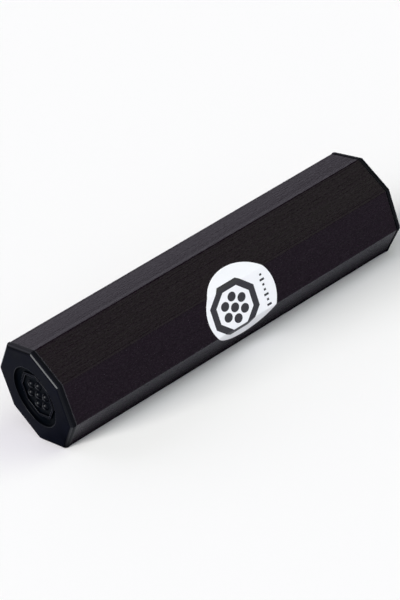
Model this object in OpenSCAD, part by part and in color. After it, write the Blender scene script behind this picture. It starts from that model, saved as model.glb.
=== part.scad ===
// Ganza shaker: an octagonal metal tube, plugged at both ends and partly filled with loose steel shot.
// X runs along the tube, Z is up, and the shaker lies on the lowest flat of its two end caps.

/* [Shaker] */
// Length over both end caps
overall_l = 200; // [170:5:240]
// Tube width between opposite flats
tube_across = 50; // [49:0.5:56]

/* [Tube] */
// Wall thickness of the tube
tube_wall = 1.6; // [1:0.1:2]
// Outer radius of the tube's long corners
tube_corner_r = 1.2; // [0.3:0.1:1.5]
// Chamfer on the outer edge of both tube ends
tube_chamfer = 0.3; // [0.1:0.1:0.6]

/* [End caps] */
// Thickness of the flange that covers the tube's end
flange_t = 2.8; // [2.4:0.1:4]
// How far each side of the flange stands proud of the tube
flange_proud = 0.2; // [0.1:0.05:0.6]
// Radius of the flange's front edge
flange_edge_r = 2.2; // [0.8:0.1:2.2]
// Radius of the flange's eight short corners
flange_corner_r = 0.5; // [0.2:0.1:1.2]
// Width of the groove between flange and tube
groove_w = 0.2; // [0.2:0.1:0.8]
// Depth of that groove below the tube's flats
groove_depth = 0.6; // [0.3:0.1:1]
// Length of the spigot inside the tube
spigot_l = 10; // [6:0.5:14]
// Wall thickness of the spigot
spigot_wall = 1.8; // [1.2:0.1:2.4]
// Clearance between spigot and tube, on each side
spigot_clear = 0.15; // [0.1:0.05:0.3]
// Lead-in chamfer on the spigot's inner end
spigot_lead = 0.8; // [0.3:0.1:1.2]
// Radius of the crush rib on each spigot flat
rib_r = 0.6; // [0.4:0.1:1]
// Clearance left between a rib's crest and the tube
rib_clear = 0.02; // [0.01:0.01:0.05]
// Thickness of the cap behind the dish
cap_wall = 2; // [1.2:0.1:3]

/* [Dish and raised motif] */
// Radius of the round dish in the cap's front
dish_r = 15.3; // [14.5:0.1:18]
// Depth of the dish
dish_depth = 2.2; // [2.2:0.1:3]
// Radius of the cove at the foot of the dish's wall
dish_cove_r = 1.8; // [0.6:0.1:1.8]
// Radius of the dish's rim
dish_rim_r = 0.3; // [0.1:0.1:0.3]
// Width of the raised octagon between opposite flats
motif_across = 23; // [21:0.5:24]
// Width of the raised octagon's line
motif_line_w = 1.5; // [1:0.1:2]
// Height of the raised octagon above the dish's floor
motif_h = 0.9; // [0.5:0.1:1.2]
// Radius of each dome at its foot
dome_r = 2.2; // [1.4:0.1:2.4]
// Height of each dome above the dish's floor
dome_h = 1.4; // [0.8:0.1:1.6]
// Distance between neighbouring domes
dome_pitch = 6; // [5:0.25:6.5]

/* [Label] */
// Diameter of the round label before it is wrapped
label_d = 40; // [26:1:44]
// Thickness of the label
label_t = 0.15; // [0.1:0.05:0.2]
// Distance of the label's middle from the tube's middle, towards the right end
label_x = 3; // [-30:1:30]
// Distance of the label's middle below the middle of the front flat
label_drop = 0.8; // [-4:0.2:4]

/* [Shot] */
// Diameter of a steel ball
shot_d = 5; // [4:0.1:5.2]
// Clearance between neighbouring balls, and between a ball and the tube
shot_clear = 0.3; // [0.2:0.05:0.5]
// Balls in each row
shot_per_row = 7; // [3:1:9]

/* [Hidden] */
SIDES = 8;
HALF_SIDE = 180 / SIDES;          // half the angle of one side, seen from the axis
CORNER_STEPS = 4;                 // facets on a rounded corner of an octagon
EDGE_STEPS = 6;                   // facets on the rounded edge of a flange
LABEL_STEPS = 96;                 // straight pieces in the label's round outline
OVERRUN = 1;                      // how far a cut runs past the face it leaves

// How far each lane of shot lies to the right, as a share of the distance between balls
lane_shift_shares = [0.5, -1, 1, -0.5, 0, 0.5, -0.5, -1, 1];

cap_across = tube_across + 2 * flange_proud;
axis_z = cap_across / 2;
bore_across = tube_across - 2 * tube_wall;
bore_corner_r = tube_corner_r / 2;
tube_end = overall_l / 2 - flange_t - groove_w;      // x of the tube's right end

seat_across = tube_across - 2 * groove_depth;
spigot_across = bore_across - 2 * spigot_clear;
spigot_end = tube_end - spigot_l;                    // x of the right spigot's inner end
spigot_root = tube_end + groove_w;                   // x where the spigot runs into its flange
dish_floor = overall_l / 2 - dish_depth;             // x of the right dish's floor
hollow_end = dish_floor - cap_wall;                  // x of the wall behind it
dome_ball_r = (dome_r * dome_r / dome_h + dome_h) / 2;

facet_w = tube_across * tan(HALF_SIDE);

shot_pitch = shot_d + shot_clear;
shot_seat = shot_d / 2 + shot_clear;                 // height of a floor lane's centre above the bore
bore_floor = axis_z - bore_across / 2;
// Furthest that a lane on the bore's floor lies from the middle, where it meets a slope
floor_reach = (bore_across / 2 - shot_seat) * tan(HALF_SIDE);
floor_lanes = floor(2 * floor_reach / shot_pitch) + 1;
groove_lanes = floor_lanes - 1;                      // lanes in the grooves between those
lanes = floor_lanes + groove_lanes + 2;              // and one against each of the two slopes
outer_lane_y = groove_lanes / 2 * shot_pitch;
// A lane against a slope also meets the outer floor lane: both hold at this height above that lane
slope_spare = floor_reach - outer_lane_y;
slope_rise = (sqrt(2 * shot_pitch * shot_pitch - slope_spare * slope_spare) - slope_spare) / 2;

function row_name(lane, side) = str("shot_row_", lane, side < 0 ? "_left" : "_right");

// Outline of a regular octagon lying on one side, with rounded corners if corner_r is not 0
function octagon_points(across, corner_r) =
    let (steps = corner_r > 0 ? CORNER_STEPS : 0, reach = (across / 2 - corner_r) / cos(HALF_SIDE))
    [for (corner = [0 : SIDES - 1]) for (k = [0 : steps])
        let (mid = (2 * corner + 1) * HALF_SIDE, turn = steps > 0 ? (2 * k / steps - 1) * HALF_SIDE : 0)
        reach * [cos(mid), sin(mid)] + corner_r * [cos(mid + turn), sin(mid + turn)]];

// Half outline, in x and height above the axis, of a bar whose right end has a rounded edge
function rounded_end_points(x0, x1, half_w, edge_r) =
    concat([[x0, 0], [x0, half_w]],
           [for (k = [0 : EDGE_STEPS]) let (a = 90 * (1 - k / EDGE_STEPS))
               [x1 - edge_r, half_w - edge_r] + edge_r * [cos(a), sin(a)]],
           [[x1, 0]]);

// Octagonal bar along the axis, from x0 to x1
module octagon_bar(across, x0, x1, corner_r = 0) {
    translate([x0, 0, axis_z]) rotate([90, 0, 90])
        linear_extrude(x1 - x0) polygon(octagon_points(across, corner_r));
}

// Octagonal bar whose ends follow a half outline drawn in x and height above the axis
module octagon_turned(points, across) {
    translate([0, 0, axis_z]) intersection_for (turn = [0 : SIDES / 2 - 1])
        rotate([turn * 2 * HALF_SIDE, 0, 0])
            for (flip = [0, 1]) mirror([0, 0, flip])
                rotate([90, 0, 0]) linear_extrude(2 * across, center = true) polygon(points);
}

// Round bar along the axis, from a half outline drawn in x and radius
module round_turned(points) {
    translate([0, 0, axis_z]) rotate([0, 90, 0]) rotate_extrude($fn = 96)
        polygon([for (p = points) [p[1], p[0]]]);
}

module tube() {
    shoulder = tube_across / 2 - tube_chamfer;
    outline = [[-tube_end, 0], [-tube_end, shoulder], [tube_chamfer - tube_end, tube_across / 2],
               [tube_end - tube_chamfer, tube_across / 2], [tube_end, shoulder], [tube_end, 0]];
    color("#2a292d") difference() {
        intersection() {
            octagon_bar(tube_across, -tube_end, tube_end, tube_corner_r);
            octagon_turned(outline, tube_across);
        }
        octagon_bar(bore_across, -tube_end - OVERRUN, tube_end + OVERRUN, bore_corner_r);
    }
}

// The plate that covers the tube's right end, and the narrow step that holds it off the tube
module flange() {
    outline = rounded_end_points(spigot_root, overall_l / 2, cap_across / 2, flange_edge_r);
    intersection() {
        octagon_turned(outline, cap_across);
        octagon_bar(cap_across, tube_end, overall_l / 2, flange_corner_r);
    }
    octagon_bar(seat_across, tube_end, spigot_root + flange_t / 2);
}

module spigot() {
    half_w = spigot_across / 2;
    outline = [[spigot_end, 0], [spigot_end, half_w - spigot_lead], [spigot_end + spigot_lead, half_w],
               [spigot_root, half_w], [spigot_root, 0]];
    intersection() {
        octagon_turned(outline, spigot_across);
        octagon_bar(spigot_across, spigot_end, spigot_root, bore_corner_r);
    }
    for (side = [0 : SIDES - 1])
        translate([spigot_end + 2 * spigot_lead, 0, axis_z]) rotate([side * 2 * HALF_SIDE, 0, 0])
            translate([0, 0, bore_across / 2 - rib_clear - rib_r]) rotate([0, 90, 0])
                cylinder(r = rib_r, h = spigot_l - 2 * spigot_lead, $fn = 24);
}

// Space cut out of the cap's front
module dish() {
    x0 = overall_l / 2;
    rim = [for (k = [0 : EDGE_STEPS]) let (a = 90 * k / EDGE_STEPS)
              [x0 - dish_rim_r, dish_r + dish_rim_r] + dish_rim_r * [cos(a), -sin(a)]];
    cove = [for (k = [0 : EDGE_STEPS]) let (a = 90 * k / EDGE_STEPS)
               [dish_floor + dish_cove_r, dish_r - dish_cove_r] + dish_cove_r * [-sin(a), cos(a)]];
    round_turned(concat([[x0 + OVERRUN, 0], [x0 + OVERRUN, dish_r + dish_rim_r]], rim, cove,
                        [[dish_floor, 0]]));
}

// One dome on the axis, standing on the dish's floor
module dome() {
    foot = dish_floor - cap_wall / 2;
    sweep = asin(dome_r / dome_ball_r);
    round_turned(concat([[foot, 0], [foot, dome_r]],
                        [for (k = [0 : EDGE_STEPS]) let (a = sweep * (1 - k / EDGE_STEPS))
                            [dish_floor + dome_h - dome_ball_r * (1 - cos(a)), dome_ball_r * sin(a)]]));
}

// Raised octagon line with seven domes inside it
module motif() {
    difference() {
        octagon_bar(motif_across, dish_floor - cap_wall / 2, dish_floor + motif_h);
        octagon_bar(motif_across - 2 * motif_line_w, dish_floor - cap_wall, dish_floor + motif_h + OVERRUN);
    }
    dome();
    for (turn = [0 : 60 : 300]) translate([0, dome_pitch * cos(turn), dome_pitch * sin(turn)]) dome();
}

module right_end_cap() {
    color("#22242c") {
        difference() {
            union() {
                flange();
                spigot();
            }
            octagon_bar(spigot_across - 2 * spigot_wall, spigot_end - OVERRUN, hollow_end);
            dish();
        }
        motif();
    }
}

module left_end_cap() {
    mirror([1, 0, 0]) right_end_cap();
}

// Height above the axis of a point of the wrapped label, from its height on the flat label
function wrapped_height(h) =
    let (over = max(abs(h) - facet_w / 2, 0))
    sign(h) * (min(abs(h), facet_w / 2) + over * cos(2 * HALF_SIDE));

// The round label wrapped over the front flat and the slopes above and below it
module label() {
    outline = [for (k = [0 : LABEL_STEPS - 1]) let (a = 360 * k / LABEL_STEPS)
                  [label_x + label_d / 2 * cos(a), wrapped_height(label_d / 2 * sin(a) - label_drop)]];
    color("#f2f6f8") intersection() {
        difference() {
            octagon_bar(tube_across + 2 * label_t, label_x - label_d, label_x + label_d);
            octagon_bar(tube_across, label_x - label_d - OVERRUN, label_x + label_d + OVERRUN);
        }
        translate([0, 0, axis_z]) rotate([90, 0, 0]) linear_extrude(tube_across) polygon(outline);
    }
}

// Place of a lane's centre line: across the tube, and up
function lane_place(lane) =
    lane <= floor_lanes ? [(lane - (floor_lanes + 1) / 2) * shot_pitch, bore_floor + shot_seat] :
    lane <= floor_lanes + groove_lanes ?
        [(lane - floor_lanes - (groove_lanes + 1) / 2) * shot_pitch,
         bore_floor + shot_seat + shot_pitch * sin(60)] :
    let (side = lane < lanes ? -1 : 1)
    [side * (outer_lane_y + slope_rise + slope_spare), bore_floor + shot_seat + slope_rise];

// Half a lane: its left half if side is -1, its right half if side is 1
module shot_row(lane, side) {
    place = lane_place(lane);
    shift_share = lane_shift_shares[(lane - 1) % len(lane_shift_shares)];
    color("#b9bcc0") for (ball = [1 : shot_per_row])
        translate([(side * (ball - 1 / 2) + shift_share) * shot_pitch, place[0], place[1]])
            sphere(d = shot_d, $fn = 32);
}

tube();
left_end_cap();
right_end_cap();
label();
for (lane = [1 : lanes]) for (side = [-1, 1])
    shot_row(lane, side);
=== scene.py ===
"""Ganza shaker: an octagonal metal tube, two moulded end caps, a round label and loose steel shot inside.

X runs along the tube, Z is up and the shaker lies on the lowest flats of its caps. Lengths are in metres.
The tube, the caps and the label are made here as finer meshes, in the sizes of the CAD model. The rows of
shot stay as the CAD model has them, and get their material here.
"""

import math

import bmesh
import bpy
from mathutils import Matrix, Vector


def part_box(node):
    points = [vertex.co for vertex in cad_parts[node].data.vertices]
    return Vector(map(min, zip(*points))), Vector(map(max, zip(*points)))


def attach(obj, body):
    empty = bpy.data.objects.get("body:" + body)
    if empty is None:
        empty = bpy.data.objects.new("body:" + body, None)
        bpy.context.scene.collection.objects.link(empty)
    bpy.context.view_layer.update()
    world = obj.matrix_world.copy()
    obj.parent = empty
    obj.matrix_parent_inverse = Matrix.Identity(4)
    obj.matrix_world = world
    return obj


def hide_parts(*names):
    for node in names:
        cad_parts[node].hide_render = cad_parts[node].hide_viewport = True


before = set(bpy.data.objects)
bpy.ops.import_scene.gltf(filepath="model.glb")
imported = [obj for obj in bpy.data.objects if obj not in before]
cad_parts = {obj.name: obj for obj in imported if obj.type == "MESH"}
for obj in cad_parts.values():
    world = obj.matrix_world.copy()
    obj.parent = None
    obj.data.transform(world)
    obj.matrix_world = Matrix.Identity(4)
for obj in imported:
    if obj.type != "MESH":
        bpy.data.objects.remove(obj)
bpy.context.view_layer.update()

# Sizes, as in the CAD model

MM = 0.001
SIDES = 8
HALF_SIDE = math.pi / SIDES

_, cap_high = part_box("right_end_cap")
_, tube_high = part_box("tube")
CAP_FRONT = cap_high.x
CAP_ACROSS = cap_high.z
AXIS_Z = CAP_ACROSS / 2
TUBE_END = tube_high.x
TUBE_ACROSS = 2 * tube_high.y

TUBE_WALL = 1.6 * MM
TUBE_CORNER_R = 1.2 * MM
TUBE_CHAMFER = 0.3 * MM

GROOVE_W = 0.2 * MM
GROOVE_DEPTH = 0.6 * MM
FLANGE_BACK = TUBE_END + GROOVE_W
FLANGE_EDGE_R = 2.2 * MM
FLANGE_CORNER_R = 0.5 * MM
FLANGE_BACK_CHAMFER = 0.12 * MM
SPIGOT_L = 10 * MM
SPIGOT_WALL = 1.8 * MM
SPIGOT_CLEAR = 0.15 * MM
SPIGOT_LEAD = 0.8 * MM
RIB_R = 0.6 * MM
RIB_CLEAR = 0.02 * MM
CAP_WALL = 2 * MM

DISH_R = 15.3 * MM
DISH_DEPTH = 2.2 * MM
DISH_COVE_R = 1.8 * MM
DISH_RIM_R = 0.3 * MM
MOTIF_ACROSS = 23 * MM
MOTIF_LINE_W = 1.5 * MM
MOTIF_H = 0.9 * MM
MOTIF_EDGE_R = 0.3 * MM
MOTIF_OUTER_CORNER_R = 0.6 * MM
MOTIF_INNER_CORNER_R = 0.5 * MM
DOME_R = 2.2 * MM
DOME_H = 1.4 * MM
DOME_PITCH = 6 * MM

LABEL_D = 40 * MM
LABEL_X = 3 * MM
LABEL_DROP = 0.8 * MM

# The label and its print together are a little thinner than the CAD's label
LABEL_T = 0.13 * MM
INK_T = 0.012 * MM

# Facets of the octagon, counted anticlockwise seen from the right end
BACK, UPPER_BACK, TOP, UPPER_FRONT, FRONT, LOWER_FRONT, BOTTOM, LOWER_BACK = range(SIDES)

# Die lines left by drawing the tube: facet, distance from the facet's middle, width and depth
DIE_LINES = [
    (TOP, 6.6 * MM, 3.0 * MM, 0.1 * MM),
    (TOP, -8.6 * MM, 0.22 * MM, 0.06 * MM),
    (UPPER_FRONT, 9.2 * MM, 0.22 * MM, 0.07 * MM),
    (UPPER_FRONT, 8.2 * MM, 0.2 * MM, 0.05 * MM),
    (UPPER_FRONT, -4.1 * MM, 0.2 * MM, 0.03 * MM),
    (FRONT, 8.9 * MM, 0.2 * MM, 0.03 * MM),
    (LOWER_FRONT, 3.0 * MM, 0.2 * MM, 0.03 * MM),
    (BOTTOM, -7.9 * MM, 0.3 * MM, 0.1 * MM),
    (LOWER_BACK, 5.2 * MM, 0.2 * MM, 0.04 * MM),
    (BACK, -8.1 * MM, 0.34 * MM, 0.12 * MM),
    (UPPER_BACK, 6.7 * MM, 0.2 * MM, 0.05 * MM),
]

# Materials


class Shader:
    """A Principled material and short calls for the procedural nodes that drive it."""

    def __init__(self, name, color, roughness, specular=0.5, metallic=0.0, tint=None):
        self.material = bpy.data.materials.new(name)
        self.material.use_nodes = True
        self.nodes = self.material.node_tree.nodes
        self.links = self.material.node_tree.links
        self.bsdf = self.nodes["Principled BSDF"]
        self.bsdf.inputs["Base Color"].default_value = (*color, 1)
        self.bsdf.inputs["Roughness"].default_value = roughness
        self.bsdf.inputs["Specular IOR Level"].default_value = specular
        self.bsdf.inputs["Metallic"].default_value = metallic
        if tint:
            self.bsdf.inputs["Specular Tint"].default_value = (*tint, 1)
        self.coords = self.nodes.new("ShaderNodeTexCoord")

    def noise(self, size, detail=2.0, rough=0.5):
        """Noise whose features are size = (x, y, z) metres long."""
        mapping = self.nodes.new("ShaderNodeMapping")
        mapping.inputs["Scale"].default_value = [1 / s for s in size]
        self.links.new(self.coords.outputs["Object"], mapping.inputs["Vector"])
        noise = self.nodes.new("ShaderNodeTexNoise")
        noise.inputs["Scale"].default_value = 1
        noise.inputs["Detail"].default_value = detail
        noise.inputs["Roughness"].default_value = rough
        self.links.new(mapping.outputs["Vector"], noise.inputs["Vector"])
        return noise.outputs["Fac"]

    def spread(self, value, low, high, start=0.3, end=0.7):
        """value, from start to end, as a number from low to high."""
        node = self.nodes.new("ShaderNodeMapRange")
        for socket, number in zip(("From Min", "From Max", "To Min", "To Max"), (start, end, low, high)):
            node.inputs[socket].default_value = number
        self.links.new(value, node.inputs["Value"])
        return node.outputs["Result"]

    def mix_colors(self, factor, first, second):
        """Colour first where factor is 0 and second where it is 1. Either may be an output."""
        node = self.nodes.new("ShaderNodeMix")
        node.data_type = "RGBA"
        self.links.new(factor, node.inputs["Factor"])
        for socket, color in (("A", first), ("B", second)):
            slot = [i for i in node.inputs if i.name == socket and i.type == "RGBA"][0]
            if isinstance(color, tuple):
                slot.default_value = (*color, 1)
            else:
                self.links.new(color, slot)
        return [o for o in node.outputs if o.type == "RGBA"][0]

    def work_out(self, operation, *values):
        """The result of a Math node on outputs."""
        node = self.nodes.new("ShaderNodeMath")
        node.operation = operation
        for value, socket in zip(values, node.inputs):
            self.links.new(value, socket)
        return node.outputs["Value"]

    def color(self, output):
        """Drives the base colour."""
        self.links.new(output, self.bsdf.inputs["Base Color"])

    def roughness(self, output):
        """Drives the roughness."""
        self.links.new(output, self.bsdf.inputs["Roughness"])

    def bumps(self, *layers):
        """Each layer is (height output, distance in metres)."""
        normal = None
        for height, distance in layers:
            node = self.nodes.new("ShaderNodeBump")
            node.inputs["Distance"].default_value = distance
            self.links.new(height, node.inputs["Height"])
            if normal:
                self.links.new(normal, node.inputs["Normal"])
            normal = node.outputs["Normal"]
        self.links.new(normal, self.bsdf.inputs["Normal"])


# Marks in the black metal: their sizes along the tube and twice across it, and their depths
STREAK_SIZE = (260 * MM, 0.55 * MM, 0.55 * MM)
STREAK_DEPTH = 0.06 * MM
BAND_SIZE = (500 * MM, 2.2 * MM, 2.2 * MM)
BAND_DEPTH = 0.07 * MM
RIPPLE_SIZE = (1.8 * MM, 0.9 * MM, 0.9 * MM)
RIPPLE_DEPTH = 0.08 * MM
SPECK_SIZE = (0.8 * MM, 0.45 * MM, 0.45 * MM)

# Colours of the black metal: on the whole, in its dark and light streaks, and in its specks
METAL = (0.0036, 0.0016, 0.0038)
METAL_DARK = (0.0022, 0.0, 0.0018)
METAL_LIGHT = (0.005, 0.0008, 0.0044)
METAL_SPECK = (0.0106, 0.0062, 0.01)


def satin_metal():
    """Black satin finish on drawn aluminium: fine lines along the tube, a fine grain and slight ripples."""
    s = Shader("tube_metal", METAL, roughness=0.22, specular=0.105, tint=(0.97, 0.94, 1.0))
    streaks = s.noise(STREAK_SIZE, detail=3, rough=0.6)
    bands = s.noise(BAND_SIZE, detail=2)
    specks = s.noise(SPECK_SIZE, detail=1)
    ripples = s.noise(RIPPLE_SIZE, detail=1)
    body = s.mix_colors(s.spread(streaks, 0, 1), METAL_DARK, METAL_LIGHT)
    s.color(s.mix_colors(s.spread(specks, 0, 1, start=0.45, end=0.72), body, METAL_SPECK))
    both = s.work_out("ADD", streaks, ripples)
    s.roughness(s.spread(both, low=0.12, high=0.34, start=0.7, end=1.3))
    s.bumps((bands, BAND_DEPTH), (streaks, STREAK_DEPTH), (ripples, RIPPLE_DEPTH))
    return s.material


def edge_with_painted_highlight():
    """The tube's cut ends and their chamfers, lighter grey than the black body in uneven clouds: a painted
    highlight.
    """
    # Painted highlight: the lighter greys stand in for the light that the cut ends catch
    s = Shader("tube_edge", (0.046, 0.044, 0.048), roughness=0.35, specular=0.2)
    clouds = s.noise((5 * MM, 1.5 * MM, 1.5 * MM), detail=3)
    s.color(s.mix_colors(s.spread(clouds, 0, 1), (0.032, 0.03, 0.034), (0.06, 0.058, 0.063)))
    return s.material


PLASTIC_GRAIN_SIZE = (0.35 * MM,) * 3
PLASTIC_CLOUD_SIZE = (9 * MM,) * 3

# How much lighter, glossier and duller the plastic is in its clouds than its own colour and roughness
CLOUD_LIGHTER = 1.7
CLOUD_GLOSSIER = 0.88
CLOUD_DULLER = 1.14

# The cap's plastics: name, colour, roughness, specular level and depth of the grain
CAP_PLASTICS = [
    ("cap_grained", (0.0012, 0.0014, 0.0028), 0.5, 0.01, 0.012 * MM),
    ("cap_smooth", (0.0012, 0.0013, 0.0022), 0.42, 0.06, 0.006 * MM),
    ("cap_polished", (0.0008, 0.0009, 0.0015), 0.14, 0.125, 0.002 * MM),
    ("cap_motif", (0.0006, 0.0008, 0.0014), 0.2, 0.07, 0.002 * MM),
    # The dish's plastic is darker than the face's: painted shade in the recess
    ("cap_dish", (0.0003, 0.0006, 0.0012), 0.42, 0.01, 0.012 * MM),
]

# Their places in a cap's materials, in the same order: the face, the flange's side with the spigot, the
# flange's rounded edge, the motif with the dish's rim, and the dish
FACE_SLOT, SIDE_SLOT, POLISHED_SLOT, MOTIF_SLOT, DISH_SLOT = range(len(CAP_PLASTICS))


def moulded_plastic(name, color, roughness, specular, grain_depth):
    """Black moulded plastic with a faint spark-eroded grain and slow changes of gloss."""
    s = Shader(name, color, roughness, specular=specular, tint=(0.9, 0.93, 1.0))
    grain = s.noise(PLASTIC_GRAIN_SIZE, detail=3, rough=0.6)
    clouds = s.noise(PLASTIC_CLOUD_SIZE, detail=2)
    lighter = tuple(CLOUD_LIGHTER * c for c in color)
    s.color(s.mix_colors(s.spread(clouds, 0, 1), color, lighter))
    s.roughness(s.spread(clouds, roughness * CLOUD_GLOSSIER, roughness * CLOUD_DULLER))
    s.bumps((grain, grain_depth))
    return s.material


def vinyl():
    """White vinyl of the label, a little cool, with a faint unevenness from the tube below."""
    s = Shader("label_vinyl", (0.822, 0.82, 0.845), roughness=0.38, specular=0.4)
    clouds = s.noise((6 * MM,) * 3, detail=3)
    s.color(s.mix_colors(s.spread(clouds, 0, 1), (0.812, 0.812, 0.84), (0.832, 0.827, 0.85)))
    s.roughness(s.spread(clouds, low=0.34, high=0.44))
    ridges = s.noise((30 * MM, 0.5 * MM, 0.5 * MM))
    s.bumps((ridges, 0.004 * MM))
    return s.material


def ink():
    """Near-black screen ink, dense but not quite even."""
    s = Shader("label_ink", (0.018, 0.016, 0.021), roughness=0.42, specular=0.35)
    clouds = s.noise((1.2 * MM,) * 3, detail=4, rough=0.6)
    s.color(s.mix_colors(s.spread(clouds, 0, 1), (0.014, 0.012, 0.017), (0.024, 0.022, 0.028)))
    s.roughness(s.spread(clouds, low=0.36, high=0.5))
    s.bumps((clouds, 0.004 * MM))
    return s.material


def steel():
    """Bright steel of the shot, faintly scratched by rubbing."""
    s = Shader("shot_steel", (0.56, 0.57, 0.58), roughness=0.22, metallic=1.0)
    scratches = s.noise((1.6 * MM, 0.12 * MM, 0.3 * MM), detail=3, rough=0.7)
    clouds = s.noise((1.4 * MM,) * 3)
    s.color(s.mix_colors(s.spread(clouds, 0, 1), (0.5, 0.5, 0.51), (0.62, 0.63, 0.64)))
    s.roughness(s.spread(scratches, low=0.16, high=0.32))
    s.bumps((scratches, 0.006 * MM))
    return s.material


# Mesh helpers


def turns(steps, start=0.0):
    """Angles of equal steps once round, from start on."""
    return [start + 2 * math.pi * k / steps for k in range(steps)]


def quarter(steps):
    """Angles from 0 to a right angle."""
    return [math.pi / 2 * k / steps for k in range(steps + 1)]


def octagon_loop(across, corner_r, lines=(), corner_steps=8, flat_steps=1):
    """Outline of a regular octagon round the axis, as (y, z) points with rounded corners.

    lines are (facet, place, width, depth) grooves. Outlines with the same places have as many points.
    """
    points = []
    half_w = across / 2
    flat = (half_w - corner_r) * math.tan(HALF_SIDE)
    for side in range(SIDES):
        a = 2 * HALF_SIDE * side
        normal = Vector((math.cos(a), math.sin(a)))
        along = Vector((-math.sin(a), math.cos(a)))
        stops = [(-flat, 0)]
        for _, place, width, depth in sorted(line for line in lines if line[0] == side):
            stops += [(place - width / 2, 0), (place, depth), (place + width / 2, 0)]
        stops += [(flat * (2 * k / flat_steps - 1), 0) for k in range(1, flat_steps + 1)]
        points += [tuple(normal * (half_w - depth) + along * place) for place, depth in stops]
        centre = normal * (half_w - corner_r) + along * flat
        for k in range(1, corner_steps):
            turn = a + 2 * HALF_SIDE * k / corner_steps
            points.append(tuple(centre + corner_r * Vector((math.cos(turn), math.sin(turn)))))
    return points


def circle_loop(like, r):
    """A circle round the axis with one point on the ray of each point of another outline."""
    return [tuple(Vector(point).normalized() * r) for point in like]


def bridge(bm, ring, after, slot):
    """Joins two rings of as many points by faces."""
    for k in range(len(ring)):
        n = (k + 1) % len(ring)
        bm.faces.new((ring[k], ring[n], after[n], after[k])).material_index = slot


def fan(bm, ring, middle, slot):
    """Joins a ring to one point by triangles."""
    for k in range(len(ring)):
        bm.faces.new((ring[k], ring[(k + 1) % len(ring)], middle)).material_index = slot


def skin(bm, loops, closed=False):
    """Joins loops of (x, outline, material index of the band that follows) into a surface round the axis.

    A closed surface also gets a flat at either end, of its own loop's material.
    """
    rings = [[bm.verts.new((x, y, z + AXIS_Z)) for y, z in outline] for x, outline, _ in loops]
    for (_, _, slot), ring, after in zip(loops, rings, rings[1:]):
        bridge(bm, ring, after, slot)
    if closed:
        for (x, _, slot), ring in ((loops[0], rings[0][::-1]), (loops[-1], rings[-1])):
            fan(bm, ring, bm.verts.new((x, 0, AXIS_Z)), slot)
    return rings


def finish_piece(name, bm, materials, body, nodes=(), mirror=False, smooth_angle=32):
    """Turns a bmesh into a piece that rides on a body and stands for CAD nodes."""
    if mirror:
        bmesh.ops.transform(bm, matrix=Matrix.Scale(-1, 4, (1, 0, 0)), verts=bm.verts)
    bmesh.ops.recalc_face_normals(bm, faces=bm.faces)
    mesh = bpy.data.meshes.new(name)
    bm.to_mesh(mesh)
    bm.free()
    for material in materials:
        mesh.materials.append(material)
    mesh.polygons.foreach_set("use_smooth", [True] * len(mesh.polygons))
    mesh.set_sharp_from_angle(angle=math.radians(smooth_angle))
    piece = bpy.data.objects.new(name, mesh)
    bpy.context.scene.collection.objects.link(piece)
    even = piece.modifiers.new("even_normals", "WEIGHTED_NORMAL")
    even.keep_sharp = True
    even.weight = 100
    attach(piece, body)
    if nodes:
        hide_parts(*nodes)
    return piece


# Tube

METAL_SLOT, EDGE_SLOT = range(2)


def build_tube(metal, edge):
    """The drawn tube: die lines along its flats, rounded long corners and a small chamfer at each end."""
    no_depth = [(facet, place, width, 0) for facet, place, width, _ in DIE_LINES]
    outer = octagon_loop(TUBE_ACROSS, TUBE_CORNER_R, DIE_LINES)
    rim = octagon_loop(TUBE_ACROSS - 2 * TUBE_CHAMFER, TUBE_CORNER_R, no_depth)
    bore = octagon_loop(TUBE_ACROSS - 2 * TUBE_WALL, TUBE_CORNER_R / 2, no_depth)
    bm = bmesh.new()
    rings = skin(bm, [
        (-TUBE_END, bore, EDGE_SLOT),
        (-TUBE_END, rim, EDGE_SLOT),
        (TUBE_CHAMFER - TUBE_END, outer, METAL_SLOT),
        (TUBE_END - TUBE_CHAMFER, outer, EDGE_SLOT),
        (TUBE_END, rim, EDGE_SLOT),
        (TUBE_END, bore, METAL_SLOT),
    ])
    bridge(bm, rings[-1], rings[0], METAL_SLOT)
    return finish_piece("drawn_tube", bm, [metal, edge], "shell", ["tube"])


# End caps

# The flange's rounded edge is polished between these angles from its side. Before them it is smooth as the
# side, and after them grained as the face.
POLISHED_FROM = math.radians(29)
GRAINED_FROM = math.radians(65)

FLANGE_FLAT_STEPS = 12
FLANGE_EDGE_STEPS = 15
DISH_RIM_STEPS = 5
DISH_COVE_STEPS = 8
MOTIF_EDGE_STEPS = 4
DOME_SPOKES = 32
DOME_BANDS = 9
RIB_SPOKES = 12

# How far the motif's feet go into the dish's floor
MOTIF_SINK = 0.3 * MM
DISH_FLOOR = CAP_FRONT - DISH_DEPTH


def edge_slot(a):
    """Material index of the flange's rounded edge at an angle from its side."""
    if a < POLISHED_FROM:
        return SIDE_SLOT
    return FACE_SLOT if a > GRAINED_FROM else POLISHED_SLOT


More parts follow.
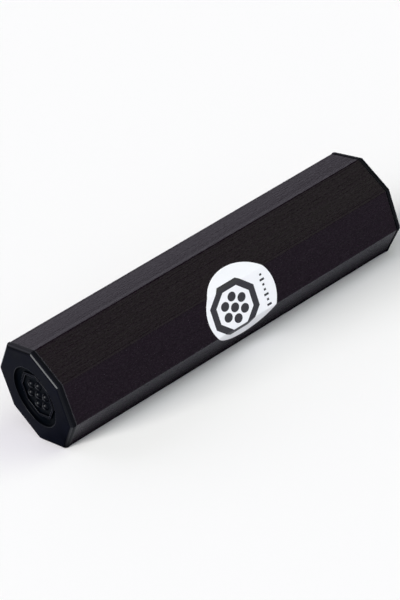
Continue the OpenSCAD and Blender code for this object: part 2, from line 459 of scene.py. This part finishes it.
def cap_outside_loops():
    """Loops from the bottom of the hollow spigot, round the flange, to the floor of the dish."""
    spigot_across = TUBE_ACROSS - 2 * TUBE_WALL - 2 * SPIGOT_CLEAR
    spigot_end = TUBE_END - SPIGOT_L

    def octagon(across):
        return octagon_loop(across, FLANGE_CORNER_R, flat_steps=FLANGE_FLAT_STEPS)

    hollow = octagon(spigot_across - 2 * SPIGOT_WALL)
    loops = [
        (DISH_FLOOR - CAP_WALL, hollow, SIDE_SLOT),
        (spigot_end, hollow, SIDE_SLOT),
        (spigot_end, octagon(spigot_across - 2 * SPIGOT_LEAD), SIDE_SLOT),
        (spigot_end + SPIGOT_LEAD, octagon(spigot_across), SIDE_SLOT),
        (TUBE_END, octagon(spigot_across), SIDE_SLOT),
        (TUBE_END, octagon(TUBE_ACROSS - 2 * GROOVE_DEPTH), SIDE_SLOT),
        (FLANGE_BACK, octagon(TUBE_ACROSS - 2 * GROOVE_DEPTH), SIDE_SLOT),
        (FLANGE_BACK, octagon(CAP_ACROSS - 2 * FLANGE_BACK_CHAMFER), SIDE_SLOT),
        (FLANGE_BACK + FLANGE_BACK_CHAMFER, octagon(CAP_ACROSS), SIDE_SLOT),
    ]
    for a in quarter(FLANGE_EDGE_STEPS):
        x = CAP_FRONT - FLANGE_EDGE_R * (1 - math.sin(a))
        loops.append((x, octagon(CAP_ACROSS - 2 * FLANGE_EDGE_R * (1 - math.cos(a))), edge_slot(a)))
    face = loops[-1][1]
    for a in quarter(DISH_RIM_STEPS):
        x = CAP_FRONT - DISH_RIM_R * (1 - math.cos(a))
        loops.append((x, circle_loop(face, DISH_R + DISH_RIM_R * (1 - math.sin(a))), MOTIF_SLOT))
    for a in quarter(DISH_COVE_STEPS):
        x = DISH_FLOOR + DISH_COVE_R * (1 - math.sin(a))
        loops.append((x, circle_loop(face, DISH_R - DISH_COVE_R * (1 - math.cos(a))), DISH_SLOT))
    return loops


def add_octagon_line(bm):
    """The motif's raised octagon line, with rounded edges and a top that is grained as the cap's face."""
    root = DISH_FLOOR - MOTIF_SINK
    inner = MOTIF_ACROSS - 2 * MOTIF_LINE_W
    outside = [(root, octagon_loop(MOTIF_ACROSS, MOTIF_OUTER_CORNER_R), MOTIF_SLOT)]
    inside = [(root, octagon_loop(inner, MOTIF_INNER_CORNER_R), MOTIF_SLOT)]
    for a in quarter(MOTIF_EDGE_STEPS):
        x = DISH_FLOOR + MOTIF_H - MOTIF_EDGE_R * (1 - math.sin(a))
        step = 2 * MOTIF_EDGE_R * (1 - math.cos(a))
        outside.append((x, octagon_loop(MOTIF_ACROSS - step, MOTIF_OUTER_CORNER_R), MOTIF_SLOT))
        inside.append((x, octagon_loop(inner + step, MOTIF_INNER_CORNER_R), MOTIF_SLOT))
    x, outline, _ = outside[-1]
    outside[-1] = (x, outline, FACE_SLOT)
    skin(bm, outside + inside[::-1])


def add_domes(bm):
    """The motif's seven domes, one in the middle and six round it, each the cap of a ball."""
    ball_r = (DOME_R * DOME_R / DOME_H + DOME_H) / 2
    sweep = math.asin(DOME_R / ball_r)
    top_x = DISH_FLOOR + DOME_H
    profile = [(DISH_FLOOR - MOTIF_SINK, DOME_R), (DISH_FLOOR, DOME_R)]
    for band in range(1, DOME_BANDS):
        a = sweep * (1 - band / DOME_BANDS)
        profile.append((top_x - ball_r * (1 - math.cos(a)), ball_r * math.sin(a)))
    places = [(0, 0)] + [(DOME_PITCH * math.cos(a), DOME_PITCH * math.sin(a)) for a in turns(6)]
    for y, z in places:
        rings = [[bm.verts.new((x, y + r * math.cos(t), z + r * math.sin(t) + AXIS_Z))
                  for t in turns(DOME_SPOKES)] for x, r in profile]
        for low, high in zip(rings, rings[1:]):
            bridge(bm, low, high, MOTIF_SLOT)
        fan(bm, rings[-1], bm.verts.new((top_x, y, z + AXIS_Z)), MOTIF_SLOT)


def add_ribs(bm):
    """Crush ribs on the eight flats of the spigot, each a thin round bar sunk into its flat."""
    start = TUBE_END - SPIGOT_L + 2 * SPIGOT_LEAD
    height = TUBE_ACROSS / 2 - TUBE_WALL - RIB_CLEAR - RIB_R
    for a in turns(SIDES):
        y, z = Vector((math.cos(a), math.sin(a))) * height
        first, last = [[bm.verts.new((x, y + RIB_R * math.cos(t), z + RIB_R * math.sin(t) + AXIS_Z))
                        for t in turns(RIB_SPOKES)] for x in (start, TUBE_END)]
        bridge(bm, first, last, SIDE_SLOT)
        bm.faces.new(first[::-1]).material_index = SIDE_SLOT


def build_cap(name, node, materials, mirror):
    """An end cap: the right one as it is, the left one mirrored."""
    bm = bmesh.new()
    skin(bm, cap_outside_loops(), closed=True)
    add_octagon_line(bm)
    add_domes(bm)
    add_ribs(bm)
    return finish_piece(name, bm, materials, "shell", [node], mirror=mirror)


# Label

# Half the width of the tube's front flat, and the length of the arc of a corner beside it
FRONT_FLAT = (TUBE_ACROSS / 2 - TUBE_CORNER_R) * math.tan(HALF_SIDE)
CORNER_ARC = TUBE_CORNER_R * 2 * HALF_SIDE

CORNER_CUTS = 6
CUT_TOLERANCE = 1e-7
LABEL_SMOOTH_ANGLE = 50
LABEL_STEPS = 128

# The print: an octagon line with seven dots in it, and beside it a column of bars from the top down
MARK_X = -4.2 * MM
MARK_OUTER = 26 * MM
MARK_INNER = 19.4 * MM
DOT_R = 2.3 * MM
DOT_PITCH = 5.7 * MM
DOT_STEPS = 40
BARS_X = 13.9 * MM
TOP_BAR = 7.8 * MM
BAR_PITCH = 2.6 * MM
BAR_H = 1.1 * MM
SHORT_BAR = 1.2 * MM
LONG_BAR = 2.6 * MM
BARS = (SHORT_BAR, LONG_BAR, SHORT_BAR, SHORT_BAR, LONG_BAR, SHORT_BAR, LONG_BAR)

# The print starts a little below the label's surface, so that no gap shows
PRINT_FROM = 0.9 * LABEL_T


def on_tube(along, up, height):
    """The place on the tube of a point of the flat label, and height above it.

    along is its X, and up its distance from the front flat's middle, measured round the tube.
    """
    reach = abs(up)
    turn = min(max(reach - FRONT_FLAT, 0) / TUBE_CORNER_R, 2 * HALF_SIDE)
    past_corner = max(reach - FRONT_FLAT - CORNER_ARC, 0)
    r = TUBE_CORNER_R + height
    y = -(TUBE_ACROSS / 2 - TUBE_CORNER_R) - r * math.cos(turn) + past_corner * math.sin(turn)
    z = min(reach, FRONT_FLAT) + r * math.sin(turn) + past_corner * math.cos(turn)
    return Vector((along, y, AXIS_Z + math.copysign(z, up)))


def wrapped_sheet(bm, outlines, bottom, top):
    """Adds flat outlines as thin sheets wrapped over the tube.

    Their points are (along, up) from the label's middle. bottom and top are heights above the tube.
    """
    flat = bmesh.new()
    for outline in outlines:
        flat.faces.new([flat.verts.new((along, up, 0)) for along, up in outline])
    for sign in (-1, 1):
        for k in range(CORNER_CUTS + 1):
            cut = sign * (FRONT_FLAT + CORNER_ARC * k / CORNER_CUTS) + LABEL_DROP
            bmesh.ops.bisect_plane(flat, geom=flat.verts[:] + flat.edges[:] + flat.faces[:],
                                   plane_co=(0, cut, 0), plane_no=(0, 1, 0), dist=CUT_TOLERANCE)
    bmesh.ops.triangulate(flat, faces=[f for f in flat.faces if len(f.verts) > 4])
    tops, bottoms = {}, {}
    for v in flat.verts:
        along, up = LABEL_X + v.co.x, v.co.y - LABEL_DROP
        tops[v] = bm.verts.new(on_tube(along, up, top))
        bottoms[v] = bm.verts.new(on_tube(along, up, bottom))
    for face in flat.faces:
        bm.faces.new([tops[v] for v in face.verts])
        bm.faces.new([bottoms[v] for v in reversed(face.verts)])
    for edge in flat.edges:
        if len(edge.link_faces) == 1:
            a, b = edge.verts
            bm.faces.new((tops[a], tops[b], bottoms[b], bottoms[a]))
    flat.free()


def disc(cx, cy, r, steps):
    """Outline of a round spot."""
    return [(cx + r * math.cos(t), cy + r * math.sin(t)) for t in turns(steps)]


def octagon_ring(cx, cy, outer, inner):
    """Eight four-sided pieces of an octagon line, by its widths between flats."""
    pieces = []
    for middle in turns(SIDES):
        corners = []
        for across, signs in ((outer, (-1, 1)), (inner, (1, -1))):
            r = across / 2 / math.cos(HALF_SIDE)
            for sign in signs:
                a = middle + sign * HALF_SIDE
                corners.append((cx + r * math.cos(a), cy + r * math.sin(a)))
        pieces.append(corners)
    return pieces


def box_outline(cx, cy, width, height):
    """Outline of an upright rectangle."""
    w, h = width / 2, height / 2
    return [(cx - w, cy - h), (cx + w, cy - h), (cx + w, cy + h), (cx - w, cy + h)]


def print_outlines():
    """The outlines of the print on the label."""
    outlines = octagon_ring(MARK_X, 0, MARK_OUTER, MARK_INNER)
    outlines.append(disc(MARK_X, 0, DOT_R, DOT_STEPS))
    for a in turns(6, start=math.pi / 6):
        outlines.append(disc(MARK_X + DOT_PITCH * math.cos(a), DOT_PITCH * math.sin(a), DOT_R, DOT_STEPS))
    for k, width in enumerate(BARS):
        outlines.append(box_outline(BARS_X, TOP_BAR - BAR_PITCH * k, width, BAR_H))
    return outlines


def build_label(white, dark):
    """The round label, and its print."""
    bm = bmesh.new()
    wrapped_sheet(bm, [disc(0, 0, LABEL_D / 2, LABEL_STEPS)], 0, LABEL_T)
    label = finish_piece("label_vinyl", bm, [white], "shell", ["label"], smooth_angle=LABEL_SMOOTH_ANGLE)
    bm = bmesh.new()
    wrapped_sheet(bm, print_outlines(), PRINT_FROM, LABEL_T + INK_T)
    marks = finish_piece("label_print", bm, [dark], "shell", smooth_angle=LABEL_SMOOTH_ANGLE)
    return label, marks


# Camera

CAMERA_RIGHT = Vector((0.76564, -0.57564, -0.28711))
CAMERA_DOWN = Vector((-0.45984, -0.17764, -0.87006))
CAMERA_AHEAD = Vector((0.44984, 0.79818, -0.4007))
CAMERA_PLACE = Vector((-0.55336, -0.9759, 0.51421))
FOCAL_PIXELS = 2626.375
LONG_SIDE_PIXELS = 600
SENSOR_MM = 36
NEAREST_SEEN = 0.05
FARTHEST_SEEN = 200


def build_camera():
    """The photograph's camera: its axes, place and focal length, from the object's straight edges."""
    data = bpy.data.cameras.new("camera")
    data.sensor_width = SENSOR_MM
    data.lens = FOCAL_PIXELS / LONG_SIDE_PIXELS * SENSOR_MM
    data.clip_start = NEAREST_SEEN
    data.clip_end = FARTHEST_SEEN
    camera = bpy.data.objects.new("camera", data)
    bpy.context.scene.collection.objects.link(camera)
    axes = Matrix((CAMERA_RIGHT, -CAMERA_DOWN, -CAMERA_AHEAD)).transposed()
    camera.matrix_world = Matrix.Translation(CAMERA_PLACE) @ axes.to_4x4()
    bpy.context.scene.camera = camera


# Floor

# Colour of the floor's paper, and of its mirror image in the black finish. That mirror image is painted: a
# painted reflection colour that is cooler, and a painted shadow, dark beside the flat on which the shaker
# lies.
PAPER = (0.95, 0.936, 0.938)
PAPER_IN_GLOSS = (0.92, 0.935, 1.0)
FLOOR_PAINTED_SHADOW = (0.01, 0.01, 0.015)
RESTING_HALF_WIDTH = CAP_ACROSS / 2 * math.tan(HALF_SIDE)
PAINTED_SHADOW_END = 16.5 * MM
FLOOR_HALF_SIDE = 30


def floor_paper():
    """White paper. What is mirrored of it gets a painted shadow, darkening evenly towards the shaker's
    resting flat, and a painted cooler tint.
    """
    s = Shader("floor_white", PAPER, roughness=0.9, specular=0.0)
    place = s.nodes.new("ShaderNodeSeparateXYZ")
    s.links.new(s.coords.outputs["Object"], place.inputs["Vector"])
    # Painted shadow in mirror images: from the resting flat outwards the mirrored colour fades from dark
    # shade to the cooler paper colour
    aside = s.work_out("ABSOLUTE", place.outputs["Y"])
    painted_shadow_fade = s.spread(aside, 0, 1, start=RESTING_HALF_WIDTH, end=PAINTED_SHADOW_END)
    mirrored = s.mix_colors(painted_shadow_fade, FLOOR_PAINTED_SHADOW, PAPER_IN_GLOSS)
    path = s.nodes.new("ShaderNodeLightPath")
    s.color(s.mix_colors(path.outputs["Is Glossy Ray"], PAPER, mirrored))
    return s.material


def build_floor():
    """A white floor, so wide that it is the backdrop too."""
    bm = bmesh.new()
    bmesh.ops.create_grid(bm, x_segments=1, y_segments=1, size=FLOOR_HALF_SIDE)
    mesh = bpy.data.meshes.new("floor")
    bm.to_mesh(mesh)
    bm.free()
    mesh.materials.append(floor_paper())
    floor = bpy.data.objects.new("floor", mesh)
    bpy.context.scene.collection.objects.link(floor)


# Lights

# Soft panels of the studio: colour, direction, and the cosine of the angle from it at which the panel starts
# and that at which it is full. The first is a faint light all round, the next two are in front, and the last
# two behind.
STUDIO = [
    ((0.08, 0.08, 0.085), (0, 0, 1), -2, -1.5),
    ((1.26, 1.28, 1.53), (-0.45, -0.8, 0.42), 0.55, 0.95),
    ((1.6, 1.8, 1.38), (0.52, -0.62, 0.59), 0.87, 0.955),
    ((0.8, 0.78, 0.89), (0.41, 0.86, 0.28), 0.955, 0.999),
    ((1.15, 1.13, 1.28), (-0.1, 0.84, 0.53), 0.85, 0.98),
]

# The key light, low on the left and a little warm
KEY_DIRECTION = Vector((-0.94, 0.06, 0.22))
KEY_STRENGTH = 5.95
KEY_ANGLE = math.radians(38)
KEY_COLOR = (1, 0.985, 0.94)


def build_world():
    """The studio's panels, added up as the light of the sky."""
    world = bpy.data.worlds.new("studio")
    bpy.context.scene.world = world
    world.use_nodes = True
    nodes, links = world.node_tree.nodes, world.node_tree.links
    coords = nodes.new("ShaderNodeTexCoord")
    total = None
    for color, direction, start, full in STUDIO:
        toward = nodes.new("ShaderNodeVectorMath")
        toward.operation = "DOT_PRODUCT"
        toward.inputs[1].default_value = Vector(direction).normalized()
        links.new(coords.outputs["Generated"], toward.inputs[0])
        step = nodes.new("ShaderNodeMapRange")
        step.interpolation_type = "SMOOTHSTEP"
        step.inputs["From Min"].default_value = start
        step.inputs["From Max"].default_value = full
        links.new(toward.outputs["Value"], step.inputs["Value"])
        panel = nodes.new("ShaderNodeVectorMath")
        panel.operation = "SCALE"
        panel.inputs[0].default_value = color
        links.new(step.outputs["Result"], panel.inputs["Scale"])
        if total:
            both = nodes.new("ShaderNodeVectorMath")
            both.operation = "ADD"
            links.new(total, both.inputs[0])
            links.new(panel.outputs["Vector"], both.inputs[1])
            total = both.outputs["Vector"]
        else:
            total = panel.outputs["Vector"]
    links.new(total, nodes["Background"].inputs["Color"])


def build_key():
    """The key light, so far off that it lights all alike. It shines from KEY_DIRECTION."""
    data = bpy.data.lights.new("key_left", "SUN")
    data.energy = KEY_STRENGTH
    data.angle = KEY_ANGLE
    data.color = KEY_COLOR
    lamp = bpy.data.objects.new("key_left", data)
    bpy.context.scene.collection.objects.link(lamp)
    lamp.rotation_mode = "QUATERNION"
    lamp.rotation_quaternion = KEY_DIRECTION.to_track_quat("Z", "Y")


# The scene

build_camera()
build_floor()
build_world()
build_key()

cap_materials = [moulded_plastic(*plastic) for plastic in CAP_PLASTICS]
# The tube's ends get a painted highlight in their own material
tube = build_tube(satin_metal(), edge_with_painted_highlight())
for side, mirror in (("left", True), ("right", False)):
    cap = build_cap(f"moulded_{side}_cap", f"{side}_end_cap", cap_materials, mirror)
for piece in build_label(vinyl(), ink()):
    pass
shot = steel()
for name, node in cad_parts.items():
    if name.startswith("shot_row_"):
        for material_slot in node.material_slots:
            material_slot.material = shot

bpy.context.scene.view_settings.view_transform = "Standard"
